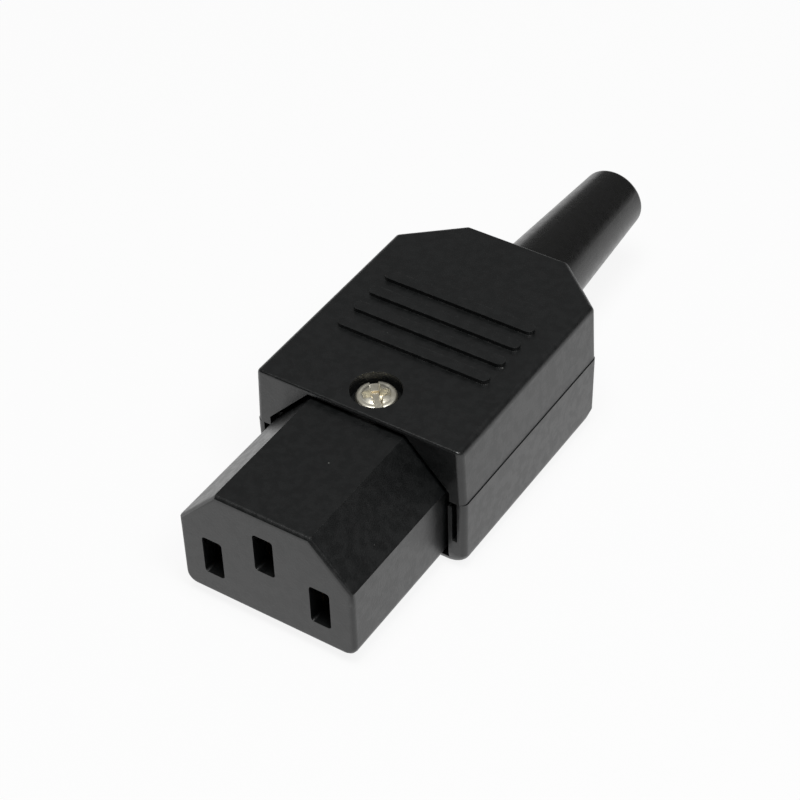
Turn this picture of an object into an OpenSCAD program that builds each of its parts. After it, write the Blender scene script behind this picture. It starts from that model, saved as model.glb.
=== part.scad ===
// Rewireable C13 cord connector: a two-shell housing, a two-part socket insert with three
// folded contacts, a cord clamp and a rubber strain-relief sleeve. Millimetres, +Z up.
// Socket nose towards -Y, cord towards +Y. The origin is the middle of the outline, on the base.

/* [Pin pattern] */
// Distance between the line and neutral pins
pole_pitch = 14; // [13.8:0.1:14.2]
// Height of the earth pin above the line and neutral pins
earth_rise = 4; // [3.8:0.1:4.2]
// Thickness of a pin
pin_t = 2; // [1.9:0.1:2.1]
// Width of a pin, which stands upright
pin_w = 4; // [3.9:0.1:4.1]
// Play of a pin in its slot, across its thickness
slot_play_x = 0.6; // [0.4:0.1:0.8]
// Play of a pin in its slot, along its width
slot_play_z = 1.3; // [1:0.1:1.5]
// Radius of the corners of each slot
slot_r = 0.4; // [0.2:0.1:0.5]

/* [Socket nose] */
// Width of the nose
nose_w = 22.6; // [22.2:0.1:23.2]
// Height of the nose
nose_h = 15.4; // [15.1:0.1:15.9]
// Length of the nose in front of the housing
nose_l = 18; // [17:0.5:20]
// Width of the bevel at each top corner
bevel_w = 5.2; // [4.6:0.1:5.6]
// Height of the bevel at each top corner
bevel_h = 5.6; // [5:0.1:6]
// Radius of the two bottom corners
foot_r = 1.5; // [0.6:0.1:1.6]
// Radius round the front face
face_r = 0.6; // [0.3:0.1:0.9]
// Height of the line and neutral pins above the underside of the nose
pin_rise = 5.7; // [5.5:0.1:5.9]
// Height of the seam between the insert's halves above those pins
seam_rise = 2.3; // [2.1:0.1:2.4]
// Thickness of the wall behind the front face
face_t = 2.2; // [1.8:0.1:2.6]
// Length of the contact cavities behind the front face
cavity_l = 15.5; // [14.5:0.5:16.5]

/* [Housing] */
// Width across the seam of the shells
body_w = 27.6; // [27.2:0.1:30]
// Length of the housing
body_l = 34.4; // [33:0.2:40]
// Height of the housing
body_h = 17.7; // [17.6:0.1:18.8]
// Height of the seam between the shells
part_z = 10; // [9.8:0.1:10.6]
// Width that each rear shoulder takes off
shoulder_w = 6.3; // [5.4:0.1:6.6]
// Length of each rear shoulder
shoulder_l = 5.4; // [4.6:0.1:6]
// Thickness of the side walls and roof
wall = 1.2; // [1:0.1:1.4]
// Thickness of the floor, which carries the insert
floor_t = 1.2; // [1:0.1:1.5]
// Thickness of the front wall
front_t = 1.5; // [1.2:0.1:1.8]
// Thickness of the rear wall
rear_t = 1.4; // [1.2:0.1:1.8]
// How far a side leans in up to the roof
draft = 0.3; // [0.1:0.1:0.4]
// How far the bottom shell stands proud of the top shell at the seam
proud = 0.1; // [0.05:0.05:0.2]
// Radius of the roof's side edges and of the upright corners
edge_r = 0.8; // [0.5:0.1:1]
// Radius of the roof's front and rear edges
brow_r = 0.3; // [0.2:0.1:0.5]
// Half-width of the rounding along the lower side edges
belly_w = 2.6; // [2:0.1:2.8]
// Rounding of the lower front and rear edges
belly_l = 1.2; // [0.8:0.1:1.3]
// Height of the rounding of the lower edges
belly_h = 2.2; // [1.4:0.1:2.4]
// Gap round the nose in the top shell's mouth
mouth_gap = 0.6; // [0.4:0.1:0.7]

/* [Locating tongues] */
// Gap between the nose and each tongue of the bottom shell
tongue_gap = 0.4; // [0.2:0.1:0.4]
// Thickness of each tongue
tongue_t = 0.5; // [0.4:0.1:0.6]
// Width of the slot outside each tongue
tongue_slot = 0.65; // [0.5:0.05:0.75]
// How far each tongue ends below the seam
tongue_drop = 0.8; // [0.4:0.1:1.2]
// Height at which the slot beside each tongue starts
tongue_root_z = 4.1; // [3:0.1:5]

/* [Grip ribs] */
// Number of ribs
rib_count = 4; // [2:1:5]
// Distance between ribs
rib_pitch = 3.25; // [2.8:0.05:3.6]
// Length of a rib
rib_l = 20; // [14:0.5:21]
// Width of a rib, which has round ends
rib_w = 1.5; // [1:0.1:1.8]
// Height of a rib
rib_h = 0.5; // [0.3:0.05:0.6]
// Distance from the front of the housing to the middle of the first rib
rib_start = 11.6; // [9:0.1:13]

/* [Cover screw] */
// Distance from the front of the housing to the screw
screw_back = 4.1; // [4:0.1:4.6]
// Diameter of the thread
screw_d = 2.5; // [2.3:0.1:2.6]
// Diameter of the head
head_d = 4.7; // [4.4:0.1:4.8]
// Height of the head
head_h = 1.6; // [1.4:0.1:1.7]
// Diameter of the recess that holds the head
recess_d = 6; // [5.6:0.1:6.2]
// Depth of that recess
recess_h = 1.9; // [1.8:0.1:2]
// Width across the flats of the nut
nut_af = 5; // [4.8:0.1:5.2]
// Thickness of the nut
nut_h = 2; // [1.8:0.1:2]

/* [Contacts] */
// Thickness of the contact sheet
sheet_t = 0.7; // [0.6:0.05:0.75]
// Width of the line and neutral straps
strap_w = 4.2; // [3.8:0.1:4.4]
// Width of the earth strap, which the cover screw passes through
earth_strap_w = 6; // [5.6:0.1:6.2]
// Distance from the front of the housing to the terminals
terminal_back = 9.6; // [9.2:0.1:10.4]
// Diameter of the terminal screws
terminal_d = 2.5; // [2.2:0.1:2.6]
// Side of the square terminal nuts
terminal_nut_w = 4.6; // [4.2:0.1:4.8]
// Thickness of the terminal nuts
terminal_nut_h = 1.6; // [1.4:0.1:1.6]
// Side of the square wire washers
washer_w = 5; // [4.6:0.1:5.4]
// Thickness of the wire washers
washer_t = 0.6; // [0.5:0.1:0.8]

/* [Cord] */
// Diameter of the cord
cord_d = 6.2; // [5.6:0.1:6.4]
// Height of the cord's centre line
cord_z = 8.9; // [8.7:0.1:9.1]
// Distance from the rear of the housing to the cord clamp
clamp_back = 10; // [9.6:0.1:11]
// Width of the clamp bar along the cord
clamp_l = 5; // [4.4:0.1:5.4]
// Thickness of the clamp bar
clamp_t = 1.8; // [1.6:0.1:2]
// Distance from the centre line to each clamp screw
clamp_x = 7.8; // [7.6:0.1:8.2]

/* [Strain relief] */
// Length of the sleeve behind the housing
sleeve_l = 24.5; // [22:0.5:32]
// Diameter at the housing
sleeve_root_d = 11; // [10.8:0.1:11.4]
// Diameter at the tip
sleeve_tip_d = 8.3; // [8.2:0.1:9.4]
// Radius of the edge at the tip
sleeve_tip_r = 0.6; // [0.3:0.1:0.8]
// Diameter of the neck in the rear wall
neck_d = 10; // [9.6:0.1:10.2]
// Diameter of the collar inside the housing
collar_d = 12.4; // [12:0.1:12.8]
// Thickness of that collar
collar_t = 2.4; // [2:0.1:2.6]

/* [Hidden] */
$fn = 64;
hull_fn = 32;
eps = 0.01;

// Clearances
fit_gap = 0.1;
turn_gap = 0.25;
thread_gap = 0.03;
cord_play = 0.2;

// Heights
nose_z = floor_t;
nose_top = nose_z + nose_h;
bevel_z = nose_top - bevel_h;
pin_z = nose_z + pin_rise;
earth_z = pin_z + earth_rise;
seam_z = pin_z + seam_rise;
roof_z = body_h - wall;
seat_z = body_h - recess_h;
boss_floor = 1.2;
step_z = seat_z - boss_floor;
nut_sink = 0.3;
nut_web = 1;
nut_boss_z = nut_sink + nut_h + nut_web;

// Stations along the connector, from the front face
front_y = nose_l;
screw_y = front_y + screw_back;
terminal_y = front_y + terminal_back;
rear_y = front_y + body_l;
total_l = rear_y + sleeve_l;
clamp_y = rear_y - clamp_back;
flange_y = front_y + front_t;
flange_t = 1.6;
cover_end_y = terminal_y - washer_w / 2 - 0.5;
base_end_y = terminal_y + washer_w / 2 + 1.4;
cavity_end_y = face_t + cavity_l;
strap_y = cavity_end_y - 1.5;

// Housing
body_x = body_w / 2;
inner_x = body_x - wall;
shoulder_n = [shoulder_l, shoulder_w] / norm([shoulder_l, shoulder_w]);

// Socket insert
slot_w = pin_t + slot_play_x;
slot_h = pin_w + slot_play_z;
corner_side = [[1, 1], [-1, 1], [-1, -1], [1, -1]];
bevel_n = [bevel_h, bevel_w] / norm([bevel_h, bevel_w]);
web_gap = 0.2;
cavity_w = 4.6;
leaf_gap = 1.3;
pinch_gap = 0.85;
flange_x = inner_x - 0.25;
tongue_x = nose_w / 2 + tongue_gap;

function contact_z(pin_height) = pin_height - pin_w / 2 - web_gap - sheet_t;

// Screws
head_slot_w = 0.9;
head_slot_h = 0.8;
boss_r = recess_d / 2 + 1;
nut_boss_r = 3.9;
terminal_head_d = 4.2;
terminal_head_h = 1.6;
terminal_tail = 0.4;

// Cord clamp and sleeve
clamp_z = cord_z + 0.5;
clamp_boss_r = 2.5;
clamp_screw_d = 2.4;
clamp_head_d = 4.4;
clamp_head_h = 1.7;
clamp_screw_l = 9;
saddle_r = cord_d / 2 + cord_play;
saddle_t = 2.4;
bore_r = cord_d / 2 + fit_gap;
cradle_t = 1.2;
cradle_r = 4.6;
collar_y = rear_y - rear_t - collar_t;

// Points of an arc, in degrees
function arc_points(centre, r, from, to, steps = 6) =
    [for (i = [0:steps]) let (a = from + (to - from) * i / steps) centre + r * [cos(a), sin(a)]];

// Section of the nose, grown by g all round and with its underside lowered by drop
function nose_points(g, drop, corner_r) =
    let (x = nose_w / 2 + g, z = nose_z - drop, top = nose_top + g, r = max(corner_r, eps),
         side_z = bevel_z + g * (1 - bevel_n.x) / bevel_n.y,
         top_x = nose_w / 2 - bevel_w + g * (1 - bevel_n.y) / bevel_n.x)
    concat(arc_points([x - r, z + r], r, -90, 0), [[x, side_z], [top_x, top], [-top_x, top], [-x, side_z]],
           arc_points([-x + r, z + r], r, 180, 270));

// Plan of the housing, with its sides and shoulders moved in by inset, and its two ends by end_inset
function plan_points(half_w, inset, end_inset) =
    let (side_y = rear_y - shoulder_l - inset * (1 - shoulder_n.x) / shoulder_n.y,
         rear_x = half_w - shoulder_w - (inset - end_inset * shoulder_n.y) / shoulder_n.x,
         x = half_w - inset, front = front_y + end_inset, rear = rear_y - end_inset)
    [[-x, front], [x, front], [x, side_y], [rear_x, rear], [-rear_x, rear], [-x, side_y]];

// Moves a part from its stations to the middle of the outline
module placed() {
    translate([0, -total_l / 2, 0]) children();
}

// Extrudes a section drawn in X and Z from one station to another
module along_y(from, to) {
    translate([0, to, 0]) rotate([90, 0, 0]) linear_extrude(to - from) children();
}

module block(x0, x1, y0, y1, z0, z1) {
    translate([x0, y0, z0]) cube([x1 - x0, y1 - y0, z1 - z0]);
}

module post(x, y, z0, z1, r) {
    translate([x, y, z0]) cylinder(r = r, h = z1 - z0);
}

// Both sides of the centre plane
module both_sides() {
    children();
    mirror([1, 0, 0]) children();
}

// The cord's path: round below, straight up to the seam above
module cord_way(y0, y1, r) {
    along_y(y0, y1) {
        translate([0, cord_z]) circle(r);
        translate([-r, cord_z]) square([2 * r, part_z - cord_z]);
    }
}

// How far the roof's end edges have turned in at a depth below the roof
function brow_inset(depth) =
    depth < brow_r ? brow_r - sqrt(pow(brow_r, 2) - pow(brow_r - depth, 2)) : 0;

module top_shell_form() {
    hull() {
        for (p = plan_points(body_x, edge_r, edge_r)) translate([p.x, p.y, part_z])
            cylinder(r = edge_r, h = eps, $fn = hull_fn);
        for (a = [0:15:90]) {
            depth = edge_r * (1 - sin(a));
            r = max(edge_r * cos(a), eps);
            inset = edge_r * (1 - cos(a)) + r;
            for (p = plan_points(body_x - draft, inset, brow_inset(depth) + r))
                translate([p.x, p.y, body_h - depth - eps]) cylinder(r = r, h = eps, $fn = hull_fn);
        }
    }
}

module grip_rib(y) {
    half = rib_l / 2 - rib_w / 2;
    block(-half, half, y - rib_w / 2, y + rib_w / 2, roof_z, body_h + rib_h);
    for (side = [-1, 1]) post(side * half, y, roof_z, body_h + rib_h, rib_w / 2);
}

// Ribs that hold the sleeve's collar against the rear wall, and the rear wall itself
module rear_cradle(z0, z1) {
    block(-inner_x, inner_x, collar_y - cradle_t, collar_y, z0, z1);
}

module top_shell() {
    color([0.13, 0.14, 0.14]) placed() {
        difference() {
            union() {
                top_shell_form();
                for (i = [0:rib_count - 1]) grip_rib(front_y + rib_start + i * rib_pitch);
            }
            difference() {
                translate([0, 0, part_z - eps]) linear_extrude(roof_z - part_z + eps)
                    intersection() {
                        polygon(plan_points(body_x, wall, wall));
                        translate([-body_x, front_y + front_t]) square([body_w, body_l - front_t - rear_t]);
                    }
                post(0, screw_y, step_z, roof_z + eps, boss_r);
                rear_cradle(part_z, roof_z + eps);
            }
            along_y(front_y - 1, front_y + front_t + eps) polygon(nose_points(mouth_gap, 0, 0));
            post(0, screw_y, step_z - 1, body_h, screw_d / 2 + turn_gap);
            post(0, screw_y, seat_z, body_h + 1, recess_d / 2);
            cord_way(rear_y - rear_t - 1, rear_y + 1, neck_d / 2 + fit_gap);
            cord_way(collar_y - cradle_t - eps, collar_y + 1, cradle_r);
        }
    }
}

module bottom_shell_form() {
    hull() {
        for (p = plan_points(body_x + proud, edge_r, edge_r)) translate([p.x, p.y, part_z - eps])
            cylinder(r = edge_r, h = eps, $fn = hull_fn);
        for (p = plan_points(body_x, edge_r, edge_r)) translate([p.x, p.y, belly_h])
            cylinder(r = edge_r, h = eps, $fn = hull_fn);
        for (p = plan_points(body_x, 0, 0)) {
            at_rear = p.y > (front_y + rear_y) / 2;
            turned = [p.x - sign(p.x) * belly_w, p.y + (at_rear ? -belly_l : belly_l)];
            translate([turned.x, turned.y, belly_h]) scale([belly_w, belly_l, belly_h])
                rotate_extrude($fn = hull_fn) intersection() {
                    circle(1);
                    translate([0, -1]) square(1);
                }
        }
    }
}

module bottom_shell() {
    color([0.15, 0.15, 0.16]) placed() {
        difference() {
            bottom_shell_form();
            difference() {
                translate([0, 0, floor_t]) linear_extrude(part_z)
                    intersection() {
                        polygon(plan_points(body_x, wall, wall));
                        translate([-body_x, front_y + front_t]) square([body_w, body_l - front_t - rear_t]);
                    }
                post(0, screw_y, 0, nut_boss_z, nut_boss_r);
                both_sides() {
                    // Stop behind the insert's flange
                    block(nose_w / 2 + 0.2, body_x, flange_y + flange_t, flange_y + flange_t + cradle_t,
                          0, seam_z);
                    post(clamp_x, clamp_y, 0, clamp_z, clamp_boss_r);
                }
                block(-clamp_x, clamp_x, clamp_y - saddle_t / 2, clamp_y + saddle_t / 2, 0, cord_z);
                rear_cradle(0, part_z + eps);
            }
            // Mouth, with a slot outside each locating tongue
            block(-tongue_x, tongue_x, front_y - 1, front_y + front_t + eps, nose_z, part_z + 1);
            both_sides() {
                block(tongue_x + tongue_t, tongue_x + tongue_t + tongue_slot, front_y - 1,
                      front_y + front_t + eps, tongue_root_z, part_z + 1);
                block(tongue_x - eps, tongue_x + tongue_t + eps, front_y - 1, front_y + front_t + eps,
                      part_z - tongue_drop, part_z + 1);
                post(clamp_x, clamp_y, clamp_z + clamp_t - clamp_screw_l - fit_gap, clamp_z + 1,
                     clamp_screw_d / 2 + thread_gap);
            }
            post(0, screw_y, -1, nut_boss_z + 1, screw_d / 2 + turn_gap);
            translate([0, screw_y, -1])
                cylinder(d = (nut_af + 2 * fit_gap) / cos(30), h = nut_sink + nut_h + 1, $fn = 6);
            along_y(clamp_y - saddle_t / 2 - eps, clamp_y + saddle_t / 2 + eps)
                translate([0, cord_z]) circle(saddle_r);
            cord_way(rear_y - rear_t - 1, rear_y + 1, neck_d / 2 + fit_gap);
            cord_way(collar_y - cradle_t - eps, collar_y + 1, cradle_r);
        }
    }
}

// Block of the whole insert, with its front edges rounded
module insert_block(end_y) {
    hull() {
        for (a = [0:30:90]) {
            y = face_r * (1 - cos(a));
            inset = face_r * (1 - sin(a));
            along_y(y, y + eps) polygon(nose_points(-inset, -inset, foot_r - inset));
        }
        along_y(end_y - eps, end_y) polygon(nose_points(0, 0, foot_r));
    }
}

// Flange that the shells hold
module insert_flange(z0, z1) {
    block(-flange_x, flange_x, flange_y, flange_y + flange_t, z0, z1);
}

// Round-cornered slot in the front wall, and the square way behind it
module pin_slot(x, z) {
    half = [slot_w / 2 - slot_r, slot_h / 2 - slot_r];
    along_y(-1, face_t + eps) polygon([for (quarter = [0:3]) each arc_points(
        [x + half.x * corner_side[quarter].x, z + half.y * corner_side[quarter].y],
        slot_r, 90 * quarter, 90 * quarter + 90, 4)]);
    block(x - slot_w / 2, x + slot_w / 2, face_t, cavity_end_y, z - slot_h / 2, z + slot_h / 2);
}

module pin_slots() {
    for (side = [-1, 1]) pin_slot(side * pole_pitch / 2, pin_z);
    pin_slot(0, earth_z);
}

module socket_cover() {
    color([0.12, 0.12, 0.12]) placed() {
        difference() {
            union() {
                intersection() {
                    insert_block(cover_end_y);
                    union() {
                        block(-nose_w, nose_w, -1, flange_y, seam_z, nose_top + 1);
                        block(-nose_w, nose_w, flange_y - eps, cover_end_y, seam_z, step_z);
                    }
                }
                insert_flange(seam_z, bevel_z);
            }
            pin_slots();
            block(-cavity_w / 2, cavity_w / 2, face_t, cavity_end_y, seam_z - 1,
                  earth_z + pin_w / 2 + 2 * web_gap + sheet_t);
            post(0, screw_y, 0, body_h, screw_d / 2 + turn_gap);
        }
    }
}

module socket_base() {
    color([0.13, 0.13, 0.13]) placed() {
        difference() {
            union() {
                intersection() {
                    insert_block(base_end_y);
                    block(-nose_w, nose_w, -1, base_end_y, 0, seam_z);
                }
                insert_flange(nose_z, seam_z);
            }
            pin_slots();
            for (side = [-1, 1]) translate([side * pole_pitch / 2, 0, 0]) {
                block(-cavity_w / 2, cavity_w / 2, face_t, base_end_y + 1, contact_z(pin_z), part_z);
                block(-washer_w / 2 - 0.6, washer_w / 2 + 0.6, cover_end_y, base_end_y + 1,
                      contact_z(pin_z), part_z);
                terminal_pocket(contact_z(pin_z));
            }
            block(-cavity_w / 2, cavity_w / 2, face_t, cavity_end_y, contact_z(earth_z), part_z);
            block(-earth_strap_w / 2 - fit_gap, earth_strap_w / 2 + fit_gap, strap_y - fit_gap,
                  base_end_y + 1, contact_z(earth_z), part_z);
            terminal_pocket(contact_z(earth_z));
            post(0, screw_y, 0, body_h, screw_d / 2 + turn_gap);
            post(0, screw_y, 0, nut_boss_z, nut_boss_r + turn_gap);
        }
    }
}

// Pocket for a terminal nut, with room for the screw's end
module terminal_pocket(z) {
    half = terminal_nut_w / 2 + fit_gap;
    block(-half, half, terminal_y - half, terminal_y + half, z - terminal_nut_h, z + eps);
    post(0, terminal_y, z - terminal_nut_h - 2 * terminal_tail, z, terminal_d / 2 + turn_gap);
}

// Folded receptacle: two bowed leaves on a web, and a strap that leads back to the terminal
module contact(z, strap, pierced) {
    mouth_y = face_t + 0.4;
    end_y = cavity_end_y - 1;
    leaf_z = z + pin_w + 2 * web_gap + sheet_t;
    stations = [[mouth_y, leaf_gap + 0.1], [mouth_y + 1.6, pinch_gap + 0.15], [mouth_y + 3, pinch_gap],
                [mouth_y + 5, pinch_gap + 0.15], [mouth_y + 8, leaf_gap], [end_y, leaf_gap]];
    translate([0, 0, z]) difference() {
        union() {
            both_sides() linear_extrude(leaf_z - z) polygon(concat(
                [for (s = stations) [s.y, s.x]],
                [for (i = [len(stations) - 1:-1:0]) [stations[i].y + sheet_t, stations[i].x]]));
            block(-leaf_gap - sheet_t, leaf_gap + sheet_t, mouth_y + 6, end_y, 0, sheet_t);
            block(-strap / 2, strap / 2, strap_y, base_end_y - 0.2, 0, sheet_t);
        }
        post(0, terminal_y, -1, 1 + sheet_t, terminal_d / 2 + turn_gap);
        if (pierced) post(0, screw_y, -1, 1 + sheet_t, screw_d / 2 + 2 * turn_gap);
    }
}

// Slotted pan head: a low drum under a dome
module pan_head(d, h, cross) {
    rim_h = 0.45 * h;
    dome_h = h - rim_h;
    dome_r = (pow(d / 2, 2) + pow(dome_h, 2)) / (2 * dome_h);
    difference() {
        intersection() {
            cylinder(d = d, h = h);
            translate([0, 0, h - dome_r]) sphere(dome_r);
        }
        block(-d, d, -head_slot_w / 2, head_slot_w / 2, h - head_slot_h, h + 1);
        if (cross) block(-head_slot_w / 2, head_slot_w / 2, -d / 3, d / 3, h - head_slot_h, h + 1);
    }
}

module terminal_screw(z) {
    z_head = z + sheet_t + washer_t;
    shank = sheet_t + washer_t + terminal_nut_h + terminal_tail;
    translate([0, terminal_y, z_head]) {
        pan_head(terminal_head_d, terminal_head_h, false);
        translate([0, 0, -shank]) cylinder(d = terminal_d, h = shank + eps);
    }
}

module terminal_washer(z) {
    half = washer_w / 2;
    difference() {
        block(-half, half, terminal_y - half, terminal_y + half, z + sheet_t, z + sheet_t + washer_t);
        post(0, terminal_y, z, z + sheet_t + washer_t + 1, terminal_d / 2 + turn_gap);
    }
}

module terminal_nut(z) {
    half = terminal_nut_w / 2;
    difference() {
        block(-half, half, terminal_y - half, terminal_y + half, z - terminal_nut_h, z);
        post(0, terminal_y, z - terminal_nut_h - 1, z + 1, terminal_d / 2 + thread_gap);
    }
}

// One pole's piece, at the line (-1), earth (0) or neutral (1) place
module at_pole(side, tint) {
    color(tint) placed() translate([side * pole_pitch / 2, 0, 0]) children();
}

brass = [0.80, 0.65, 0.33];
plated = [0.82, 0.82, 0.78];

module line_contact() {
    at_pole(-1, brass) contact(contact_z(pin_z), strap_w, false);
}

module neutral_contact() {
    at_pole(1, brass) contact(contact_z(pin_z), strap_w, false);
}

module earth_contact() {
    at_pole(0, brass) contact(contact_z(earth_z), earth_strap_w, true);
}

module line_terminal_screw() {
    at_pole(-1, plated) terminal_screw(contact_z(pin_z));
}

module neutral_terminal_screw() {
    at_pole(1, plated) terminal_screw(contact_z(pin_z));
}

module earth_terminal_screw() {
    at_pole(0, plated) terminal_screw(contact_z(earth_z));
}

module line_terminal_washer() {
    at_pole(-1, plated) terminal_washer(contact_z(pin_z));
}

module neutral_terminal_washer() {
    at_pole(1, plated) terminal_washer(contact_z(pin_z));
}

module earth_terminal_washer() {
    at_pole(0, plated) terminal_washer(contact_z(earth_z));
}

module line_terminal_nut() {
    at_pole(-1, plated) terminal_nut(contact_z(pin_z));
}

module neutral_terminal_nut() {
    at_pole(1, plated) terminal_nut(contact_z(pin_z));
}

module earth_terminal_nut() {
    at_pole(0, plated) terminal_nut(contact_z(earth_z));
}

module cord_clamp_bar() {
    half = clamp_x + clamp_boss_r;
    color([0.16, 0.16, 0.16]) placed() difference() {
        along_y(clamp_y - clamp_l / 2, clamp_y + clamp_l / 2) difference() {
            union() {
                translate([-half, clamp_z]) square([2 * half, clamp_t]);
                translate([0, cord_z]) circle(saddle_r + clamp_t);
            }
            translate([0, cord_z]) circle(saddle_r);
            translate([-body_w, -body_h]) square([2 * body_w, body_h + clamp_z]);
        }
        both_sides() post(clamp_x, clamp_y, 0, body_h, clamp_screw_d / 2 + turn_gap);
    }
}

module clamp_screw(side) {
    color(plated) placed() translate([side * clamp_x, clamp_y, clamp_z + clamp_t]) {
        pan_head(clamp_head_d, clamp_head_h, true);
        translate([0, 0, -clamp_screw_l]) cylinder(d = clamp_screw_d, h = clamp_screw_l + eps);
    }
}

module cord_clamp_screw_left() {
    clamp_screw(-1);
}

module cord_clamp_screw_right() {
    clamp_screw(1);
}

module strain_relief_sleeve() {
    tip = sleeve_tip_d / 2;
    color([0.10, 0.10, 0.10]) placed() translate([0, 0, cord_z]) rotate([-90, 0, 0])
        rotate_extrude($fn = 96) polygon(concat(
            [[bore_r, collar_y], [collar_d / 2, collar_y], [collar_d / 2, rear_y - rear_t],
             [neck_d / 2, rear_y - rear_t], [neck_d / 2, rear_y], [sleeve_root_d / 2, rear_y]],
            arc_points([tip - sleeve_tip_r, total_l - sleeve_tip_r], sleeve_tip_r, 0, 90),
            [[bore_r, total_l]]));
}

module cover_screw() {
    shank = seat_z - nut_sink;
    color(plated) placed() translate([0, screw_y, seat_z]) {
        rotate([0, 0, -49]) pan_head(head_d, head_h, true);
        translate([0, 0, -shank]) cylinder(d = screw_d, h = shank + eps);
    }
}

module cover_nut() {
    color(plated) placed() translate([0, screw_y, nut_sink]) difference() {
        cylinder(d = nut_af / cos(30), h = nut_h, $fn = 6);
        translate([0, 0, -1]) cylinder(d = screw_d + 2 * thread_gap, h = nut_h + 2);
    }
}

top_shell();
bottom_shell();
socket_cover();
socket_base();
line_contact();
neutral_contact();
earth_contact();
line_terminal_screw();
neutral_terminal_screw();
earth_terminal_screw();
line_terminal_washer();
neutral_terminal_washer();
earth_terminal_washer();
line_terminal_nut();
neutral_terminal_nut();
earth_terminal_nut();
cord_clamp_bar();
cord_clamp_screw_left();
cord_clamp_screw_right();
strain_relief_sleeve();
cover_screw();
cover_nut();
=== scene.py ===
"""Looks of a rewireable C13 cord connector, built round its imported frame.

The moulded shells, the socket insert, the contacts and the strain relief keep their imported
solids, with softened edges and their own finishes. Screws and nuts are turned pieces that
stand for their solids. Lengths are metres, in the frame's own axes: +Z up, -Y out of the nose.
"""
import logging
import math
from dataclasses import dataclass
from enum import Enum
from typing import Callable

import bmesh
import bpy
from bmesh.types import BMesh, BMVert
from bpy.types import Material, Node, NodeSocket, NodeTree, Object
from mathutils import Matrix, Vector


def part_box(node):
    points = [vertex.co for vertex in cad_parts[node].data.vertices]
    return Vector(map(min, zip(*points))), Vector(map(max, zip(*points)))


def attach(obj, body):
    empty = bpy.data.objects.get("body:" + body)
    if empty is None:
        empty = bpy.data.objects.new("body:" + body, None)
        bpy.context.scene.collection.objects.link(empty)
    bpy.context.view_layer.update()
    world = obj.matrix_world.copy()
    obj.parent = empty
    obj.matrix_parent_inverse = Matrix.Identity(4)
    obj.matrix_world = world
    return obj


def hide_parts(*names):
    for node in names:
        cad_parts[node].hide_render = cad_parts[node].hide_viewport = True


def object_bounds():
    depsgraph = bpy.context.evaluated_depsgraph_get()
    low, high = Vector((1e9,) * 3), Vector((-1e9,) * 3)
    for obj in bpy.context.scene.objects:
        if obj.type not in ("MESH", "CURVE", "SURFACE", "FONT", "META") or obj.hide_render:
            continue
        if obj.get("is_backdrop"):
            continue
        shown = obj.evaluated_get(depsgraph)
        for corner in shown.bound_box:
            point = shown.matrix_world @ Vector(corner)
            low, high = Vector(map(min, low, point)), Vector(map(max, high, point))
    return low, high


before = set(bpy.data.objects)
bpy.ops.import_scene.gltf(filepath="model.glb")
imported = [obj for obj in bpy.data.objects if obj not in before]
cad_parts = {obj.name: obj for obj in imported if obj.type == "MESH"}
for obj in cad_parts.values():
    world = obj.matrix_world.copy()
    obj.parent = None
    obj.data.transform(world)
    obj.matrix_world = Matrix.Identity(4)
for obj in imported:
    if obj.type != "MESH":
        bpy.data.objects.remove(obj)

MM = 0.001
ROOT = "root"
LOG = logging.getLogger("cord_connector")


# ---------------------------------------------------------------- shader helpers


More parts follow.
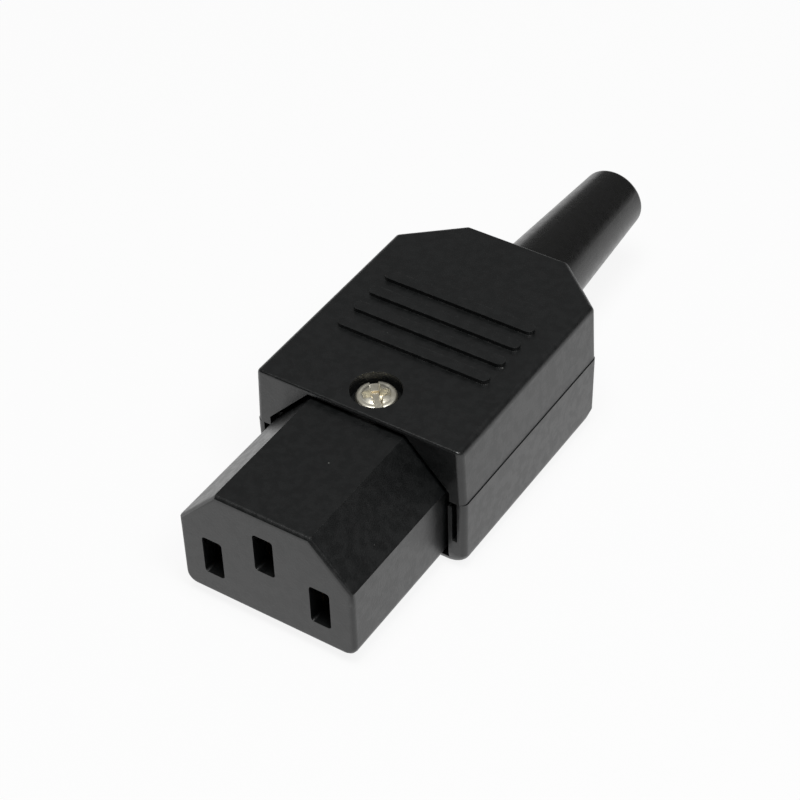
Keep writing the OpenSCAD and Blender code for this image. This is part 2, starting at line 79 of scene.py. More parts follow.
class NodeDesk:
    """Adds nodes to one shader tree and joins them."""

    def __init__(self, tree: NodeTree) -> None:
        """Keeps the tree.

        Args:
            tree: Shader tree or shader node group to fill.
        """
        self.tree = tree

    def add(self, kind: str, inputs: dict | None = None, **settings: object) -> Node:
        """Adds one node.

        Args:
            kind: Blender's name of the node type.
            inputs: Socket name or number to a value, or to an output socket that feeds it.
            settings: Properties of the node itself.

        Returns:
            The new node.
        """
        node = self.tree.nodes.new(kind)
        for name, value in settings.items():
            setattr(node, name, value)
        for key, value in (inputs or {}).items():
            socket = node.inputs[key]
            if isinstance(value, NodeSocket):
                self.tree.links.new(value, socket)
            else:
                socket.default_value = value
        return node

    def link(self, source: NodeSocket, target: NodeSocket) -> None:
        """Joins two sockets."""
        self.tree.links.new(source, target)

    def sum(self, kind: str, *values: object, clamp: bool = False) -> NodeSocket:
        """Adds a math node.

        Args:
            kind: The operation, such as MULTIPLY.
            values: Numbers or sockets, in the node's order.
            clamp: Whether the result stays between 0 and 1.

        Returns:
            The result's socket.
        """
        node = self.add("ShaderNodeMath", dict(enumerate(values)), operation=kind, use_clamp=clamp)
        return node.outputs[0]

    def ramp(self, value: NodeSocket, low: float, high: float,
             to_low: float = 0.0, to_high: float = 1.0) -> NodeSocket:
        """Maps a range of values smoothly to another range.

        Args:
            value: The value's socket.
            low: Start of the range read.
            high: End of the range read.
            to_low: Result at the start.
            to_high: Result at the end.

        Returns:
            The result's socket.
        """
        node = self.add("ShaderNodeMapRange", {"Value": value, "From Min": low, "From Max": high,
                                               "To Min": to_low, "To Max": to_high},
                        interpolation_type="SMOOTHSTEP")
        return node.outputs[0]

    def noise(self, vector: NodeSocket, scale: object, detail: float,
              roughness: float = 0.5) -> NodeSocket:
        """Adds a noise texture.

        Args:
            vector: Where it is read.
            scale: Number or socket, in patches per metre.
            detail: Octaves of finer noise.
            roughness: Share of each finer octave.

        Returns:
            The noise's socket.
        """
        node = self.add("ShaderNodeTexNoise", {"Vector": vector, "Scale": scale,
                                               "Detail": detail, "Roughness": roughness})
        return node.outputs[0]

    def mix_colours(self, factor: object, first: object, second: object,
                    blend: str = "MIX") -> NodeSocket:
        """Mixes two colours.

        Args:
            factor: Number or socket, 0 for the first colour.
            first: Colour or socket.
            second: Colour or socket.
            blend: Blending of the mix node.

        Returns:
            The mixed colour's socket.
        """
        node = self.add("ShaderNodeMix", {0: factor, 6: first, 7: second},
                        data_type="RGBA", blend_type=blend)
        return node.outputs[2]

    def group(self, effect: "Effect", inputs: dict) -> Node:
        """Places a shared effect in this tree.

        Args:
            effect: Which effect.
            inputs: Values or sockets for its named inputs.

        Returns:
            The group node.
        """
        node = self.add("ShaderNodeGroup")
        node.node_tree = EFFECTS.tree(effect)
        for key, value in inputs.items():
            if isinstance(value, NodeSocket):
                self.tree.links.new(value, node.inputs[key])
            else:
                node.inputs[key].default_value = value
        return node


class Effect(Enum):
    """Surface effects that several finishes share."""

    MOULDED_GRAIN = "Moulded_Grain"
    COLOUR_DRIFT = "Colour_Drift"
    EDGE_WEAR_AND_HIGHLIGHT = "Edge_Wear"
    DUST_SPECKS = "Dust_Specks"
    FINE_SCRATCHES = "Fine_Scratches"
    LATHE_RINGS = "Lathe_Rings"


# Shares and ranges of the effects: noise is read between its usual low and high value.
NOISE_LOW, NOISE_HIGH = 0.35, 0.65
PIT_SHARE = 0.6
MOTTLE_SCALE = 0.2
BROAD_SHARE = 0.6
FINE_PATCHES = 9.0
FLAT_AGREEMENT, EDGE_AGREEMENT = 0.995, 0.90
MARK_LOW, MARK_HIGH = 0.5, 0.62
SCRATCH_TURN, SCRATCH_STRETCH = (0.2, 0.1, 0.7), (1.0, 0.06, 1.0)
RUBBED_PATCHES = 900.0


class EffectShelf:
    """Builds each shared effect once, as a shader node group with named sockets."""

    def __init__(self) -> None:
        """Starts with no effect built."""
        self.built: dict[Effect, NodeTree] = {}

    def tree(self, effect: Effect) -> NodeTree:
        """Gives an effect's node group, and builds it at its first use.

        Args:
            effect: Which effect.

        Returns:
            The node group.
        """
        if effect not in self.built:
            makers: dict[Effect, Callable[[], NodeTree]] = {
                Effect.MOULDED_GRAIN: self._moulded_grain,
                Effect.COLOUR_DRIFT: self._colour_drift,
                Effect.EDGE_WEAR_AND_HIGHLIGHT: self._edge_wear_and_highlight,
                Effect.DUST_SPECKS: self._dust_specks,
                Effect.FINE_SCRATCHES: self._fine_scratches,
                Effect.LATHE_RINGS: self._lathe_rings,
            }
            self.built[effect] = makers[effect]()
        return self.built[effect]

    @staticmethod
    def _open(effect: Effect, ins: dict[str, object], outs: dict[str, str],
              ) -> tuple[NodeDesk, dict[str, NodeSocket], Node]:
        """Makes an empty group with its sockets, the first of which is its Vector.

        Args:
            effect: Names the group.
            ins: Name of each other input to its usual value, a number or a colour.
            outs: Output name to its kind of socket.

        Returns:
            The desk for the group's tree, its inputs by name, and its output node.
        """
        tree = bpy.data.node_groups.new(effect.value, "ShaderNodeTree")
        tree.interface.new_socket("Vector", in_out="INPUT", socket_type="NodeSocketVector")
        for name, value in ins.items():
            kind = "NodeSocketColor" if isinstance(value, tuple) else "NodeSocketFloat"
            socket = tree.interface.new_socket(name, in_out="INPUT", socket_type=kind)
            socket.default_value = value
        for name, kind in outs.items():
            tree.interface.new_socket(name, in_out="OUTPUT", socket_type=f"NodeSocket{kind}")
        desk = NodeDesk(tree)
        given = desk.add("NodeGroupInput").outputs
        named = {name: given[name] for name in ("Vector", *ins)}
        return desk, named, desk.add("NodeGroupOutput")

    def _moulded_grain(self) -> NodeTree:
        """Fine spark-eroded grain, as a mould leaves it: small round grains on a slow swell."""
        desk, given, out = self._open(
            Effect.MOULDED_GRAIN, {"Grains per metre": 4000.0, "Swell": 0.4},
            {"Height": "Float", "Mottle": "Float"})
        fine = desk.noise(given["Vector"], given["Grains per metre"], 2.0, 0.55)
        pits = desk.add("ShaderNodeTexVoronoi", {"Vector": given["Vector"],
                                                 "Scale": given["Grains per metre"]},
                        feature="SMOOTH_F1")
        slow_scale = desk.sum("MULTIPLY", given["Grains per metre"], MOTTLE_SCALE)
        slow = desk.noise(given["Vector"], slow_scale, 3.0, 0.6)
        pitting = desk.sum("MULTIPLY", pits.outputs[0], PIT_SHARE)
        grain = desk.sum("SUBTRACT", fine, pitting)
        swell = desk.sum("MULTIPLY", slow, given["Swell"])
        desk.link(desk.sum("ADD", grain, swell), out.inputs["Height"])
        desk.link(desk.ramp(slow, NOISE_LOW, NOISE_HIGH), out.inputs["Mottle"])
        return desk.tree

    def _colour_drift(self) -> NodeTree:
        """A colour that grows slightly lighter and darker over the surface."""
        desk, given, out = self._open(
            Effect.COLOUR_DRIFT, {"Colour": (0.1, 0.1, 0.1, 1), "Patches per metre": 420.0,
                                  "Drift": 0.12},
            {"Colour": "Color"})
        broad = desk.noise(given["Vector"], given["Patches per metre"], 3.0, 0.6)
        fine_scale = desk.sum("MULTIPLY", given["Patches per metre"], FINE_PATCHES)
        fine = desk.noise(given["Vector"], fine_scale, 2.0)
        both = desk.sum("ADD", desk.sum("MULTIPLY", broad, BROAD_SHARE),
                        desk.sum("MULTIPLY", fine, 1 - BROAD_SHARE))
        swing = desk.sum("MULTIPLY", desk.ramp(both, NOISE_LOW, NOISE_HIGH, -1.0, 1.0),
                         given["Drift"])
        scaled = desk.add("ShaderNodeVectorMath", {0: given["Colour"],
                                                   "Scale": desk.sum("ADD", swing, 1.0)},
                          operation="SCALE")
        desk.link(scaled.outputs[0], out.inputs["Colour"])
        return desk.tree

    def _edge_wear_and_highlight(self) -> NodeTree:
        """Broken light marks along outer edges: partly wear where a piece is handled, partly a
        painted edge highlight.
        """
        desk, given, out = self._open(
            Effect.EDGE_WEAR_AND_HIGHLIGHT, {"Width": 0.2 * MM, "Marks per metre": 1500.0, "Amount": 0.5},
            {"Mask": "Float"})
        rounded = desk.add("ShaderNodeBevel", {"Radius": given["Width"]}, samples=4)
        true_normal = desk.add("ShaderNodeNewGeometry")
        agree = desk.add("ShaderNodeVectorMath", {0: rounded.outputs[0],
                                                  1: true_normal.outputs["Normal"]},
                         operation="DOT_PRODUCT")
        edge = desk.ramp(agree.outputs["Value"], FLAT_AGREEMENT, EDGE_AGREEMENT)
        marks = desk.noise(given["Vector"], given["Marks per metre"], 4.0, 0.7)
        broken = desk.ramp(marks, MARK_LOW, MARK_HIGH)
        mask = desk.sum("MULTIPLY", desk.sum("MULTIPLY", edge, broken), given["Amount"],
                        clamp=True)
        desk.link(mask, out.inputs["Mask"])
        return desk.tree

    def _dust_specks(self) -> NodeTree:
        """Scattered grains of dust."""
        desk, given, out = self._open(
            Effect.DUST_SPECKS, {"Cells per metre": 700.0, "Cover": 0.1, "Size": 0.08},
            {"Mask": "Float"})
        cells = desk.add("ShaderNodeTexVoronoi", {"Vector": given["Vector"],
                                                  "Scale": given["Cells per metre"]})
        split = desk.add("ShaderNodeSeparateColor", {0: cells.outputs["Color"]})
        chosen = desk.sum("LESS_THAN", split.outputs[0], given["Cover"])
        reach = desk.sum("MULTIPLY", given["Size"], desk.sum("ADD", split.outputs[1], 0.4))
        near = desk.sum("LESS_THAN", cells.outputs["Distance"], reach)
        desk.link(desk.sum("MULTIPLY", chosen, near), out.inputs["Mask"])
        return desk.tree

    def _fine_scratches(self) -> NodeTree:
        """Hairline scratches and rubbed patches of handled metal."""
        desk, given, out = self._open(
            Effect.FINE_SCRATCHES, {"Lines per metre": 3000.0},
            {"Mask": "Float", "Height": "Float"})
        stretch = desk.add("ShaderNodeMapping", {"Vector": given["Vector"],
                                                 "Rotation": SCRATCH_TURN,
                                                 "Scale": SCRATCH_STRETCH})
        lines = desk.noise(stretch.outputs[0], given["Lines per metre"], 3.0, 0.6)
        patches = desk.noise(given["Vector"], RUBBED_PATCHES, 2.0)
        mask = desk.sum("MULTIPLY", desk.ramp(lines, 0.45, 0.7), desk.ramp(patches, 0.3, 0.6))
        desk.link(mask, out.inputs["Mask"])
        desk.link(lines, out.inputs["Height"])
        return desk.tree

    def _lathe_rings(self) -> NodeTree:
        """Fine turning rings round a piece's own upright axis."""
        desk, given, out = self._open(
            Effect.LATHE_RINGS, {"Rings per metre": 9000.0},
            {"Height": "Float"})
        flat = desk.add("ShaderNodeVectorMath", {0: given["Vector"], 1: (1.0, 1.0, 0.0)},
                        operation="MULTIPLY")
        radius = desk.add("ShaderNodeVectorMath", {0: flat.outputs[0]}, operation="LENGTH")
        along = desk.sum("MULTIPLY", radius.outputs["Value"], given["Rings per metre"])
        rings = desk.add("ShaderNodeTexNoise", {"W": along, "Scale": 1.0, "Detail": 1.0},
                         noise_dimensions="1D")
        desk.link(rings.outputs[0], out.inputs["Height"])
        return desk.tree


EFFECTS = EffectShelf()


# ---------------------------------------------------------------- finishes


def open_material(name: str) -> tuple[Material, NodeDesk, Node, NodeSocket]:
    """Starts a material with a Principled shader.

    Args:
        name: The material's name.

    Returns:
        The material, a desk for its tree, its shader, and the piece's own coordinates.
    """
    material = bpy.data.materials.new(name)
    material.use_nodes = True
    desk = NodeDesk(material.node_tree)
    shader = material.node_tree.nodes["Principled BSDF"]
    place = desk.add("ShaderNodeTexCoord").outputs["Object"]
    return material, desk, shader, place


def opaque(colour: tuple[float, float, float]) -> tuple[float, float, float, float]:
    """Adds a full alpha to a colour."""
    return (*colour, 1.0)


@dataclass(frozen=True)
class MouldedPlastic:
    """Injection-moulded plastic or rubber with a fine matt grain."""

    name: str
    colour: tuple[float, float, float]
    roughness: float
    roughness_spread: float = 0.03
    grains_per_metre: float = 4200.0
    grain_depth: float = 0.012 * MM
    grain_strength: float = 1.0
    drift: float = 0.18
    # Lighter colour along outer edges: partly handling wear, partly a painted highlight.
    wear_and_highlight: float = 0.35
    wear_and_highlight_width: float = 0.22 * MM
    wear_and_highlight_colour: tuple[float, float, float] = (0.06, 0.06, 0.058)
    dust_cover: float = 0.05
    dust_colour: tuple[float, float, float] = (0.14, 0.14, 0.13)
    dust_tint: float = 0.6
    dust_roughness: float = 0.3
    ior: float = 1.6

    def build(self) -> Material:
        """Builds the material.

        Returns:
            The material.
        """
        material, desk, shader, place = open_material(self.name)
        grain = desk.group(Effect.MOULDED_GRAIN, {"Vector": place,
                                                  "Grains per metre": self.grains_per_metre})
        tint = desk.group(Effect.COLOUR_DRIFT, {"Vector": place, "Colour": opaque(self.colour),
                                                "Drift": self.drift})
        wear_and_highlight = desk.group(Effect.EDGE_WEAR_AND_HIGHLIGHT, {"Vector": place, "Width": self.wear_and_highlight_width,
                                             "Amount": self.wear_and_highlight})
        dust = desk.group(Effect.DUST_SPECKS, {"Vector": place, "Cover": self.dust_cover})
        # Outer edges turn lighter: partly wear, partly a painted highlight.
        worn_and_highlit = desk.mix_colours(wear_and_highlight.outputs["Mask"], tint.outputs["Colour"],
                                opaque(self.wear_and_highlight_colour))
        specks = dust.outputs["Mask"]
        dusty = desk.mix_colours(desk.sum("MULTIPLY", specks, self.dust_tint), worn_and_highlit,
                                 opaque(self.dust_colour))
        desk.link(dusty, shader.inputs["Base Color"])
        rough = desk.ramp(grain.outputs["Mottle"], 0.0, 1.0,
                          self.roughness - self.roughness_spread,
                          self.roughness + self.roughness_spread)
        rough = desk.sum("ADD", rough, desk.sum("MULTIPLY", specks, self.dust_roughness),
                         clamp=True)
        desk.link(rough, shader.inputs["Roughness"])
        bump = desk.add("ShaderNodeBump", {"Strength": self.grain_strength,
                                           "Distance": self.grain_depth,
                                           "Height": grain.outputs["Height"]})
        desk.link(bump.outputs[0], shader.inputs["Normal"])
        shader.inputs["IOR"].default_value = self.ior
        return material


@dataclass(frozen=True)
class PlatedMetal:
    """Plated or rolled metal with hairline scratches, turning rings and a darker tarnish."""

    name: str
    colour: tuple[float, float, float]
    tarnish: tuple[float, float, float]
    roughness: float
    roughness_spread: float = 0.10
    ring_strength: float = 0.0
    scratch_strength: float = 0.2
    scratch_depth: float = 0.01 * MM
    tarnish_amount: float = 0.5
    tarnish_patches: float = 2600.0

    def build(self) -> Material:
        """Builds the material.

        Returns:
            The material.
        """
        material, desk, shader, place = open_material(self.name)
        scratches = desk.group(Effect.FINE_SCRATCHES, {"Vector": place})
        grain = desk.group(Effect.MOULDED_GRAIN, {"Vector": place,
                                                  "Grains per metre": self.tarnish_patches})
        cloud = desk.sum("MULTIPLY", grain.outputs["Mottle"], self.tarnish_amount)
        colour = desk.mix_colours(cloud, opaque(self.colour), opaque(self.tarnish))
        desk.link(colour, shader.inputs["Base Color"])
        rough = desk.ramp(scratches.outputs["Mask"], 0.0, 1.0, self.roughness,
                          self.roughness + self.roughness_spread)
        desk.link(rough, shader.inputs["Roughness"])
        shader.inputs["Metallic"].default_value = 1.0
        bump = desk.add("ShaderNodeBump", {"Strength": self.scratch_strength,
                                           "Distance": self.scratch_depth,
                                           "Height": scratches.outputs["Height"]})
        last = bump.outputs[0]
        if self.ring_strength > 0:
            rings = desk.group(Effect.LATHE_RINGS, {"Vector": place})
            last = desk.add("ShaderNodeBump", {"Strength": self.ring_strength,
                                               "Distance": self.scratch_depth,
                                               "Height": rings.outputs["Height"],
                                               "Normal": last}).outputs[0]
        desk.link(last, shader.inputs["Normal"])
        return material


HOUSING_PLASTIC = MouldedPlastic("housing_plastic", (0.0038, 0.0044, 0.0045), 0.37)
SOCKET_PLASTIC = MouldedPlastic("socket_plastic", (0.0032, 0.0038, 0.0039), 0.36, wear_and_highlight=0.2)
CLAMP_PLASTIC = MouldedPlastic("clamp_plastic", (0.010, 0.010, 0.010), 0.5, wear_and_highlight=0.2)
SLEEVE_RUBBER = MouldedPlastic("sleeve_rubber", (0.0030, 0.0030, 0.0028), 0.29,
                               grains_per_metre=5200.0, grain_strength=0.4, drift=0.12, wear_and_highlight=0.05,
                               dust_cover=0.03)
CONTACT_BRASS = PlatedMetal("contact_brass", (0.72, 0.53, 0.24), (0.45, 0.30, 0.13), 0.28)
ZINC_STEEL = PlatedMetal("zinc_steel", (0.62, 0.61, 0.58), (0.42, 0.41, 0.40), 0.30,
                         ring_strength=0.15)
SCREW_PLATING = PlatedMetal("plated_screw", (0.95, 0.92, 0.80), (0.70, 0.63, 0.48), 0.42,
                            ring_strength=0.3, tarnish_amount=0.35, scratch_strength=0.5)
# Darker brownish copy of the plating: painted shade on the walls of the screw's driver recess.
SCREW_RECESS_SHADE = PlatedMetal("plated_screw_recess_shade", (0.42, 0.34, 0.20), (0.20, 0.15, 0.08), 0.45,
                           tarnish_amount=0.7)


# ---------------------------------------------------------------- edge softening


MERGE_DISTANCE = 0.002 * MM
SEAM_REACH = 0.03 * MM


@dataclass(frozen=True)
class EdgeSoftening:
    """Merges a solid's facets, rounds its sharp edges slightly and evens its shading."""

    radius: float
    segments: int
    min_angle: float = 30.0
    flat_angle: float = 0.5
    seam_height: float = -1.0
    seam_share: float = 1.0

    @staticmethod
    def facets() -> NodeTree:
        """Gives the node group that joins facets and weighs the edges to be rounded.

        Returns:
            The geometry node group, built at its first use.
        """
        name = "Clean_Facets"
        if name in bpy.data.node_groups:
            return bpy.data.node_groups[name]
        tree = bpy.data.node_groups.new(name, "GeometryNodeTree")
        tree.interface.new_socket("Geometry", in_out="INPUT", socket_type="NodeSocketGeometry")
        for value in ("Least Angle", "Seam Height", "Seam Share"):
            tree.interface.new_socket(value, in_out="INPUT", socket_type="NodeSocketFloat")
        tree.interface.new_socket("Geometry", in_out="OUTPUT", socket_type="NodeSocketGeometry")
        desk = NodeDesk(tree)
        given = desk.add("NodeGroupInput").outputs
        last = given["Geometry"]
        for attribute in ("custom_normal", "sharp_edge"):
            last = desk.add("GeometryNodeRemoveAttribute",
                            {"Geometry": last, "Name": attribute}).outputs[0]
        last = desk.add("GeometryNodeMergeByDistance",
                        {"Geometry": last, "Distance": MERGE_DISTANCE}).outputs[0]
        last = desk.add("GeometryNodeSetShadeSmooth", {"Geometry": last}).outputs[0]
        angle = desk.add("GeometryNodeInputMeshEdgeAngle").outputs["Unsigned Angle"]
        sharp = desk.sum("GREATER_THAN", angle, given["Least Angle"])
        place = desk.add("GeometryNodeInputPosition").outputs[0]
        height = desk.add("ShaderNodeSeparateXYZ", {0: place}).outputs[2]
        away = desk.sum("ABSOLUTE", desk.sum("SUBTRACT", height, given["Seam Height"]))
        at_seam = desk.sum("LESS_THAN", away, SEAM_REACH)
        cut = desk.sum("MULTIPLY", at_seam, desk.sum("SUBTRACT", 1.0, given["Seam Share"]))
        weight = desk.sum("MULTIPLY", sharp, desk.sum("SUBTRACT", 1.0, cut))
        last = desk.add("GeometryNodeStoreNamedAttribute",
                        {"Geometry": last, "Name": "bevel_weight_edge", "Value": weight},
                        domain="EDGE", data_type="FLOAT").outputs[0]
        desk.link(last, desk.add("NodeGroupOutput").inputs[0])
        return tree

    def apply(self, piece: Object) -> None:
        """Adds the modifiers to a piece.

        Args:
            piece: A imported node's object.
        """
        tree = self.facets()
        facets = piece.modifiers.new("facets", "NODES")
        facets.node_group = tree
        values = {"Least Angle": math.radians(self.min_angle), "Seam Height": self.seam_height,
                  "Seam Share": self.seam_share}
        for item in tree.interface.items_tree:
            if item.name in values:
                facets[item.identifier] = values[item.name]
        flats = piece.modifiers.new("flats", "DECIMATE")
        flats.decimate_type = "DISSOLVE"
        flats.angle_limit = math.radians(self.flat_angle)
        edges = piece.modifiers.new("edges", "BEVEL")
        edges.width = self.radius
        edges.segments = self.segments
        edges.limit_method = "WEIGHT"
        piece.modifiers.new("normals", "WEIGHTED_NORMAL").keep_sharp = True


def dress(node: str, material: Material, softening: EdgeSoftening) -> Object:
    """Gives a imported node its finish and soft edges.

    Args:
        node: The node's name.
        material: Its finish.
        softening: How its edges are softened.

    Returns:
        The node's object.
    """
    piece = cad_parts[node]
    for material_slot in piece.material_slots:
        material_slot.material = material
    softening.apply(piece)
    return piece


# ---------------------------------------------------------------- turned pieces


def object_from(name: str, mesh: BMesh) -> Object:
    """Turns a bmesh into an object of the scene.

    Args:
        name: The object's name.
        mesh: The bmesh, which is freed.

    Returns:
        The object.
    """
    bmesh.ops.recalc_face_normals(mesh, faces=mesh.faces)
    data = bpy.data.meshes.new(name)
    mesh.to_mesh(data)
    mesh.free()
    piece = bpy.data.objects.new(name, data)
    bpy.context.scene.collection.objects.link(piece)
    return piece


def turned(profile: list[tuple[float, float]], steps: int, turn: float = 0.0) -> BMesh:
    """Turns a profile round the upright axis into a closed solid.

    Args:
        profile: Radius and height of each ring, from one end to the other.
        steps: Points round each ring; few of them make a prism.
        turn: Turn of the first point, in degrees.

    Returns:
        The solid.
    """
    mesh = bmesh.new()
    angles = [math.radians(turn) + 2 * math.pi * i / steps for i in range(steps)]
    rings = [[mesh.verts.new((r * math.cos(a), r * math.sin(a), z)) for a in angles]
             for r, z in profile]
    close_rings(mesh, rings)
    return mesh


def close_rings(mesh: BMesh, rings: list[list[BMVert]]) -> None:
    """Joins rings of points into a closed skin.

    Args:
        mesh: The bmesh that holds the points.
        rings: Rings of equal length, from one end to the other.
    """
    for lower, upper in zip(rings, rings[1:]):
        for i in range(len(lower)):
            j = (i + 1) % len(lower)
            mesh.faces.new((lower[i], lower[j], upper[j], upper[i]))
    mesh.faces.new(list(reversed(rings[0])))
    mesh.faces.new(rings[-1])


def tapered_bar(length: float, width: float, end_length: float, end_width: float,
                top: float, bottom: float, turn: float) -> BMesh:
    """Makes an upright bar that narrows downwards.

    Args:
        length: Length at the top.
        width: Width at the top.
        end_length: Length at the bottom.
        end_width: Width at the bottom.
        top: Height of the top.
        bottom: Height of the bottom.
        turn: Turn round the upright axis, in degrees.

    Returns:
        The bar.
    """
    mesh = bmesh.new()
    spin = Matrix.Rotation(math.radians(turn), 4, "Z")
    rings = [[mesh.verts.new(spin @ Vector((sx * l / 2, sy * w / 2, z)))
              for sx, sy in ((-1, -1), (1, -1), (1, 1), (-1, 1))]
             for l, w, z in ((end_length, end_width, bottom), (length, width, top))]
    close_rings(mesh, rings)
    return mesh


def carve(piece: Object, tools: list[Object], how: str = "DIFFERENCE") -> None:
    """Cuts a piece with tools and removes them.

    Args:
        piece: The piece to cut; its mesh is replaced.
        tools: The cutting solids.
        how: Kind of boolean.
    """
    for tool in tools:
        cut = piece.modifiers.new("cut", "BOOLEAN")
        cut.operation = how
        cut.solver = "EXACT"
        cut.object = tool
    bpy.context.view_layer.update()
    evaluated = piece.evaluated_get(bpy.context.evaluated_depsgraph_get())
    result = bpy.data.meshes.new_from_object(evaluated)
    piece.modifiers.clear()
    piece.data = result
    for tool in tools:
        bpy.data.objects.remove(tool)


def fit_fastener(piece: Object, node: str, finishes: list[Material]) -> Object:
    """Puts a built fastener in its node's place.

    Args:
        piece: The fastener, built upright with its foot at height 0.
        node: The node that it stands for.
        finishes: Its finishes, in the order of its face numbers.

    Returns:
        The fastener.
    """
    low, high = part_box(node)
    piece.location = ((low.x + high.x) / 2, (low.y + high.y) / 2, low.z)
    for finish in finishes:
        piece.data.materials.append(finish)
    piece.data.polygons.foreach_set("use_smooth", [True] * len(piece.data.polygons))
    piece.modifiers.new("normals", "WEIGHTED_NORMAL").keep_sharp = True
    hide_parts(node)
    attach(piece, ROOT)
    return piece


def bevel_sharp(piece: Object, width: float, angle: float) -> None:
    """Rounds a built piece's sharp edges for good.

    Args:
        piece: The piece.
        width: Width of the rounding.
        angle: Least angle of an edge that is rounded, in degrees.
    """
    mesh = bmesh.new()
    mesh.from_mesh(piece.data)
    bmesh.ops.remove_doubles(mesh, verts=mesh.verts, dist=0.001 * MM)
    bmesh.ops.dissolve_limit(mesh, angle_limit=math.radians(1.0), verts=mesh.verts,
                             edges=mesh.edges)
    sharp = [e for e in mesh.edges if len(e.link_faces) == 2
             and e.calc_face_angle(0.0) > math.radians(angle)]
    bmesh.ops.bevel(mesh, geom=sharp, offset=width, segments=2, profile=0.6, affect="EDGES",
                    clamp_overlap=True)
    mesh.to_mesh(piece.data)
    mesh.free()


class Drive(Enum):
    """Kind of recess in a screw's head."""

    CROSS = "cross"
    SLOT_AND_CROSS = "slot and cross"


# Form of a head, as lengths and as shares of the radius.
NECK_SHARE = 0.9
RIM_CHAMFER = 0.12 * MM
HEAD_EDGE = 0.05 * MM
HEAD_ANGLE = 38.0
DOME_RINGS = ((0.96, 0.0), (0.88, 1.0), (0.8, 1.0), (0.72, 0.0), (0.6, 0.0), (0.4, 0.0),
              (0.2, 0.0))
CENTRE_RADIUS = 0.02 * MM
# Reach of the painted shade in a recess: share of the radius, depth below the crown, height above
# the underside.
RECESS_REACH = 0.86
RECESS_TOP = 0.15 * MM
RECESS_FOOT = 0.1 * MM

# Taper of the recess and how far its cutting solids stand above the head.
SLOT_TAPER = 1.04
CROSS_FOOT_LENGTH, CROSS_FOOT_WIDTH = 0.5, 0.6
TOOL_RISE = 0.2 * MM

# Form of a thread: depth as a share of the pitch and of the shank, and its two ends.
THREAD_DEPTH, THREAD_LIMIT = 0.54, 0.28
THREAD_FLANK = 1.15
THREAD_ROWS, THREAD_STEPS = 8, 28
POINT_PITCHES, POINT_SHARE = 1.5, 0.72
RUN_OUT = 0.6 * MM
SHANK_OVERLAP = 0.05 * MM


